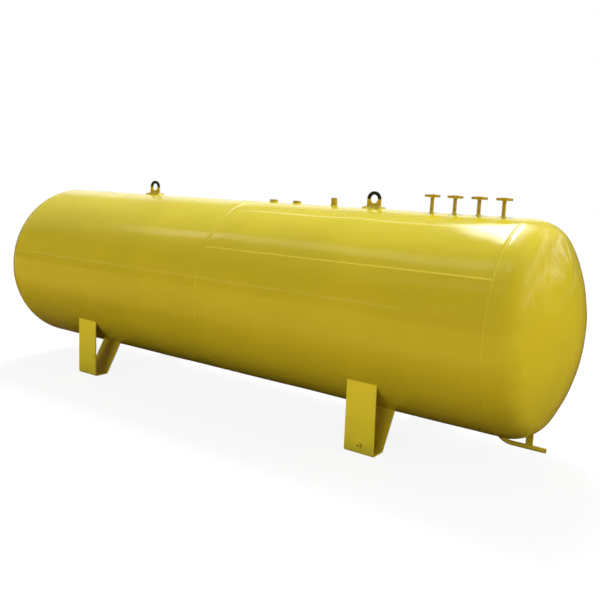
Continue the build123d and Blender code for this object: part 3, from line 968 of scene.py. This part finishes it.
# %% Ease the edges and paint the plate
EDGE_ANGLE = math.radians(35)
MERGE_GAP = 0.01 * MM
FLAT_ANGLE = math.radians(0.3)
# The legs' enamel is painted lighter for the light they catch; the pads', flanges', sockets', pipes' and
# drain's are painted darker as painted shade.
FINISHES = {
    "leg_": (lit_leg_enamel, 1.2 * MM),
    "lug_pad_": (shaded_fitting_enamel, 1.2 * MM),
    "lifting_lug_": (lug_enamel, 1.5 * MM),
    "nozzle_flange_": (shaded_fitting_enamel, 0.8 * MM),
    "nozzle_pipe_": (shaded_fitting_enamel, 0.3 * MM),
    "low_socket_": (shaded_fitting_enamel, 0.8 * MM),
    "tall_socket": (shaded_fitting_enamel, 0.8 * MM),
    "earthing_boss": (boss_enamel, 0.6 * MM),
    "drain_pipe": (shaded_drain_enamel, 0.3 * MM),
    "drain_strut": (shaded_drain_enamel, 0.8 * MM),
}
for node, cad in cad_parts.items():
    finish = next((FINISHES[start] for start in FINISHES if node.startswith(start)), None)
    if finish is None:
        continue
    material, edge_width = finish
    cad.data.materials.clear()
    cad.data.materials.append(material)
    merge = cad.modifiers.new("merge", "WELD")
    merge.merge_threshold = MERGE_GAP
    flatten = cad.modifiers.new("flatten", "DECIMATE")
    flatten.decimate_type = "DISSOLVE"
    flatten.angle_limit = FLAT_ANGLE
    bevel = cad.modifiers.new("eased_edges", "BEVEL")
    bevel.width = edge_width
    bevel.segments = 2
    bevel.limit_method = "ANGLE"
    bevel.angle_limit = EDGE_ANGLE
    bevel.harden_normals = True
print("finished", sum(bool(cad.modifiers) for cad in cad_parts.values()), "CAD nodes")

# %% [markdown]
# ## What the paint mirrors
# Gloss paint shows what stands round it, and a long cylinder stretches it all into lines
# along its length. So the world is drawn by two measures of a direction: how far it
# leans along the vessel, and its angle about the vessel's axis, from straight up towards
# the rear. A picture of a sky would show as smears, while a few soft strips parallel to
# the vessel can be moved one by one until the paint looks right.

# %% Measure the world's directions
CLOUD_STRETCH = (4.0, 3.0, 3.0)
CLOUD_BEND = math.radians(5)
world = bpy.data.worlds.new("studio_sky")
world.use_nodes = True
scene.world = world
tree = world.node_tree
direction = add_node(tree, "ShaderNodeTexCoord").outputs["Generated"]
along, across, climb = add_node(tree, "ShaderNodeSeparateXYZ", Vector=direction).outputs
clouds = noise(tree, stretch(tree, direction, CLOUD_STRETCH), 1.0, detail=3.0)
bend = calc(tree, "MULTIPLY", calc(tree, "SUBTRACT", clouds, 0.5), CLOUD_BEND)
about_axis = calc(tree, "ADD", calc(tree, "ARCTAN2", across, climb), bend)


def between(value, low, high, soft):
    """A mask that is one between two values, with soft edges."""
    rises = remap(tree, value, low - soft, low + soft)
    return calc(tree, "MULTIPLY", rises, remap(tree, value, high + soft, high - soft))


def strip(*degrees):
    """A mask for a strip along the vessel, from its two edges and their softness."""
    return between(about_axis, *map(math.radians, degrees))


def angle_step(*degrees):
    """A mask that rises between two angles about the vessel."""
    return remap(tree, about_axis, *map(math.radians, degrees))


def lay(under, over, *masks):
    """Lays one colour over another, where all the masks meet."""
    mask = masks[0]
    for other in masks[1:]:
        mask = calc(tree, "MULTIPLY", mask, other)
    return blend_colours(tree, mask, under, over)


print("world", world.name, "measured along and about the vessel")

# %% [markdown]
# ## The long strips
# In front, a dim wall rises to a grey sky, and the same at the rear. Over them lie a pale
# band high in front, brighter towards the left, a faint one under it, a fine broken line
# near the horizon, and a thin line high behind that ends in a short bright tail.

# %% Paint the long strips
LOW_WALL = (0.075, 0.08, 0.07)
HIGH_SKY = (0.29, 0.30, 0.31)
REAR_SKY = (0.20, 0.205, 0.21)
PALE_BAND = (1.0, 1.01, 0.96)
LEFT_BAND = (1.7, 1.7, 1.62)
FAINT_BAND = (0.36, 0.37, 0.33)
HORIZON_LINE = (2.3, 2.1, 1.2)
THIN_LINE = (1.9, 1.9, 1.8)
GLOW_TAIL = (3.4, 3.4, 3.2)
FRONT_RISE = (-52, -22)
REAR_RISE = (0.06, 0.26)
REAR_SIDE = (48, 62)
LEFT_SIDE = (-0.6, -0.7)
PALE_STRIP = (-26, -14.5, 2.5)
PALE_CLOUDS = (0.34, 0.5)
PALE_START = (-0.78, -0.68)
FAINT_STRIP = (-50, -42, 3)
FAINT_START = (-0.56, -0.44)
HORIZON_STRIP = (-79.1, -78.4, 0.35)
HORIZON_GRAIN = 9.0
HORIZON_GAPS = (0.28, 0.5)
THIN_STRIP = (34, 36.5, 1)
THIN_LENGTH = (-0.64, -0.38, 0.03)
TAIL_STRIP = (34, 41, 4)
TAIL_LENGTH = (-0.40, -0.28, 0.03)

front = lay(LOW_WALL, HIGH_SKY, angle_step(*FRONT_RISE))
rear = lay(LOW_WALL, REAR_SKY, remap(tree, climb, *REAR_RISE))
sky = lay(front, rear, angle_step(*REAR_SIDE))
band = lay(PALE_BAND, LEFT_BAND, remap(tree, along, *LEFT_SIDE))
cloudy = remap(tree, clouds, *PALE_CLOUDS)
sky = lay(sky, band, strip(*PALE_STRIP), cloudy, remap(tree, along, *PALE_START))
sky = lay(sky, FAINT_BAND, strip(*FAINT_STRIP), remap(tree, along, *FAINT_START))
broken = remap(tree, noise(tree, direction, HORIZON_GRAIN, detail=3.0), *HORIZON_GAPS)
sky = lay(sky, HORIZON_LINE, strip(*HORIZON_STRIP), broken)
sky = lay(sky, THIN_LINE, strip(*THIN_STRIP), between(along, *THIN_LENGTH))
sky = lay(sky, GLOW_TAIL, strip(*TAIL_STRIP), between(along, *TAIL_LENGTH))
print("strips:", ["pale", "faint", "horizon", "thin", "tail"])

# %% [markdown]
# ## The drain end's sky and the glow
# The head at the drain end mirrors a sky of its own: dark below, then pale streaks and
# patches, which a little noise makes wavy, as pressed plate shows them. High behind the
# vessel hangs a round glow in a wider halo. It is added to the sky, so that it brightens
# what it covers.

# %% Paint the drain end's sky
END_DARK = (0.04, 0.04, 0.035)
END_SKY = (0.34, 0.35, 0.34)
END_PALE = (1.25, 1.25, 1.2)
SWAY_GRAIN = 7.5
SWAY = 0.42
END_PATCH_GRAIN = 13.0
END_PATCHES = (0.5, 0.64)
END_PATCH_SHARE = 0.5
END_RISE = (0.11, 0.22)
PALE_STREAKS = ((0.26, 0.31, 0.03), (0.54, 0.66, 0.06))
END_LINE = (0.05, 0.06, 0.012)
RIGHT_SIDE = (0.1, 0.4)
END_ALONG = (0.0, 0.3)
END_ACROSS = (-0.35, 0.05)

sway = calc(tree, "SUBTRACT", noise(tree, direction, SWAY_GRAIN, detail=5.0), 0.5)
wavy = calc(tree, "ADD", climb, calc(tree, "MULTIPLY", sway, SWAY))
grain = noise(tree, direction, END_PATCH_GRAIN, detail=3.0)
end_sky = lay(END_SKY, END_PALE, remap(tree, grain, *END_PATCHES, to_high=END_PATCH_SHARE))
end_sky = lay(END_DARK, end_sky, remap(tree, wavy, *END_RISE))
for streak in PALE_STREAKS:
    end_sky = lay(end_sky, END_PALE, between(wavy, *streak))
end_sky = lay(end_sky, END_SKY, between(climb, *END_LINE))
sky = lay(sky, LOW_WALL, remap(tree, along, *RIGHT_SIDE))
sky = lay(sky, end_sky, remap(tree, along, *END_ALONG), remap(tree, across, *END_ACROSS))
print("drain end's sky with", len(PALE_STREAKS), "streaks")

# %% Add the glow
GLOW = 12.0
GLOW_FALL = 1.6
GLOW_PLACE = (-0.28, math.radians(30))
GLOW_REACH = (0.13, math.radians(27))
HALO = 3.2
HALO_STRIP = (10, 46, 10)
HALO_START = (-0.36, -0.27)
HALO_FADE = (0.22, -0.2)
glow_parts = []
for value, spot, reach in zip((along, about_axis), GLOW_PLACE, GLOW_REACH):
    share = calc(tree, "DIVIDE", calc(tree, "SUBTRACT", value, spot), reach)
    glow_parts.append(calc(tree, "POWER", share, 2.0))
inward = remap(tree, calc(tree, "ADD", *glow_parts), 1.0, 0.0)
glow = calc(tree, "MULTIPLY", calc(tree, "POWER", inward, GLOW_FALL), GLOW)
halo = calc(tree, "MULTIPLY", strip(*HALO_STRIP), remap(tree, along, *HALO_START))
halo = calc(tree, "MULTIPLY", halo, remap(tree, along, *HALO_FADE, to_high=HALO))
sky = vector_calc(tree, "ADD", sky, calc(tree, "ADD", glow, halo))
print("world", world.name, "with", len(tree.nodes), "nodes")

# %% [markdown]
# ## The white backdrop
# A plain white background is seen by the camera in every direction. Polished paint sees it
# only where it stands, low behind the vessel, and the strips elsewhere. Light Path tells
# one kind of ray from another, and the floor asks the same two questions later.

# %% Stand the backdrop behind the vessel
WHITE = (1.0, 1.0, 1.0)
BACKDROP_WIDTH = (0.85, 0.93)
BACKDROP_TOP = (0.55, 0.35)
view_line = Vector((ahead.x, ahead.y, 0)).normalized()


def behind_vessel(tree, place):
    """A mask for what lies beyond the vessel, as the camera looks at it."""
    level = vector_calc(tree, "NORMALIZE", vector_calc(tree, "MULTIPLY", place, (1, 1, 0)))
    return remap(tree, vector_calc(tree, "DOT_PRODUCT", level, view_line), *BACKDROP_WIDTH)


def seen_white(tree, behind):
    """One for rays that meet the white: direct ones, and mirrored ones behind the vessel."""
    path = add_node(tree, "ShaderNodeLightPath").outputs
    mirrored = calc(tree, "MULTIPLY", path["Is Glossy Ray"], behind)
    direct = calc(tree, "MAXIMUM", path["Is Camera Ray"], path["Is Transmission Ray"])
    return calc(tree, "MAXIMUM", direct, mirrored)


low = remap(tree, climb, *BACKDROP_TOP)
white = seen_white(tree, calc(tree, "MULTIPLY", behind_vessel(tree, direction), low))
background = tree.nodes["Background"]
tree.links.new(lay(sky, WHITE, white), background.inputs["Color"])
print("backdrop towards", tuple(round(c, 2) for c in view_line))

# %% [markdown]
# ## Lamps
# Three broad suns light the paint. The first stands high behind, as the sun did, and its
# light ends along a soft line on the shoulder. The second fills the front from low down,
# and the third lights the drain end. Their reflections are already drawn in the world, so
# they are hidden from mirrors. Each is given by where its light comes from, its strength,
# its width in degrees and its tint.

# %% Hang the lamps
LAMPS = {
    "high_sun": ((-0.33, 0.44, 0.83), 2.7, 14, (0.95, 1.0, 0.97)),
    "front_fill": ((0.0, -0.96, 0.22), 1.3, 45, (0.98, 1.0, 0.97)),
    "drain_end_fill": ((0.90, 0.38, 0.14), 3.12, 40, (1.0, 0.96, 0.92)),
}
for lamp_name, (comes_from, strength, width, tint) in LAMPS.items():
    lamp_data = bpy.data.lights.new(lamp_name, "SUN")
    lamp_data.energy = strength
    lamp_data.angle = math.radians(width)
    lamp_data.color = tint
    lamp = bpy.data.objects.new(lamp_name, lamp_data)
    lamp.rotation_euler = (-Vector(comes_from)).to_track_quat("-Z", "Y").to_euler()
    lamp.visible_glossy = False
    scene.collection.objects.link(lamp)
print("lamps", list(LAMPS))

# %% [markdown]
# ## The floor
# The background of the photograph is plain white. The floor shows the camera that white,
# with a soft shadow under the vessel, and polished surfaces see the same white behind it.
# All other light meets a ground of painted light and shade: painted sunlit sand out in
# front and painted shade under the vessel, so that the vessel's lower half is warm and ends dark.

# %% Lay the floor
FLOOR_REACH = 60.0
FLOOR_DROP = 0.5 * MM
# Painted light and shade on the ground: sunlit sand in front, shade under the vessel.
PAINTED_SUNLIT_SAND = (0.50, 0.35, 0.09)
SHADED_GROUND = (0.08, 0.045, 0.02)
SUNLIT_EDGE = (-0.9, -1.6)
PALE_FLOOR = (0.87, 0.87, 0.87)
SHADOW_SHARE = 0.1
MIRROR_REACH = (2.5, 7.0)
CORNERS = ((-1, -1), (1, -1), (1, 1), (-1, 1))
corners = [(u * FLOOR_REACH, v * FLOOR_REACH, -FLOOR_DROP) for u, v in CORNERS]
floor = new_object("floor", [(corners, [(0, 1, 2, 3)])])
floor_paint = bpy.data.materials.new("floor_paint")
floor_paint.use_nodes = True
floor.data.materials.append(floor_paint)
tree = floor_paint.node_tree
tree.nodes.clear()
place = frame_place(tree)
clear_white = add_node(tree, "ShaderNodeEmission", Color=(*WHITE, 1.0), Strength=1.0).outputs[0]
pale_floor = add_node(tree, "ShaderNodeBsdfDiffuse", Color=(*PALE_FLOOR, 1.0)).outputs[0]
# Painted light: the ground turns from painted shade to painted sunlit sand towards the front.
sunlit_front = remap(tree, part_of(tree, place, "Y"), *SUNLIT_EDGE)
yard = blend_colours(tree, sunlit_front, SHADED_GROUND, PAINTED_SUNLIT_SAND)
ground = add_node(tree, "ShaderNodeBsdfDiffuse", Color=yard).outputs[0]
shown = add_node(tree, "ShaderNodeMixShader", i0=SHADOW_SHARE, i1=clear_white, i2=pale_floor).outputs[0]
far_off = remap(tree, vector_calc(tree, "LENGTH", place), *MIRROR_REACH)
white = seen_white(tree, calc(tree, "MULTIPLY", behind_vessel(tree, place), far_off))
surface = add_node(tree, "ShaderNodeMixShader", i0=white, i1=ground, i2=shown).outputs[0]
add_node(tree, "ShaderNodeOutputMaterial", Surface=surface)
print("floor", floor.name)
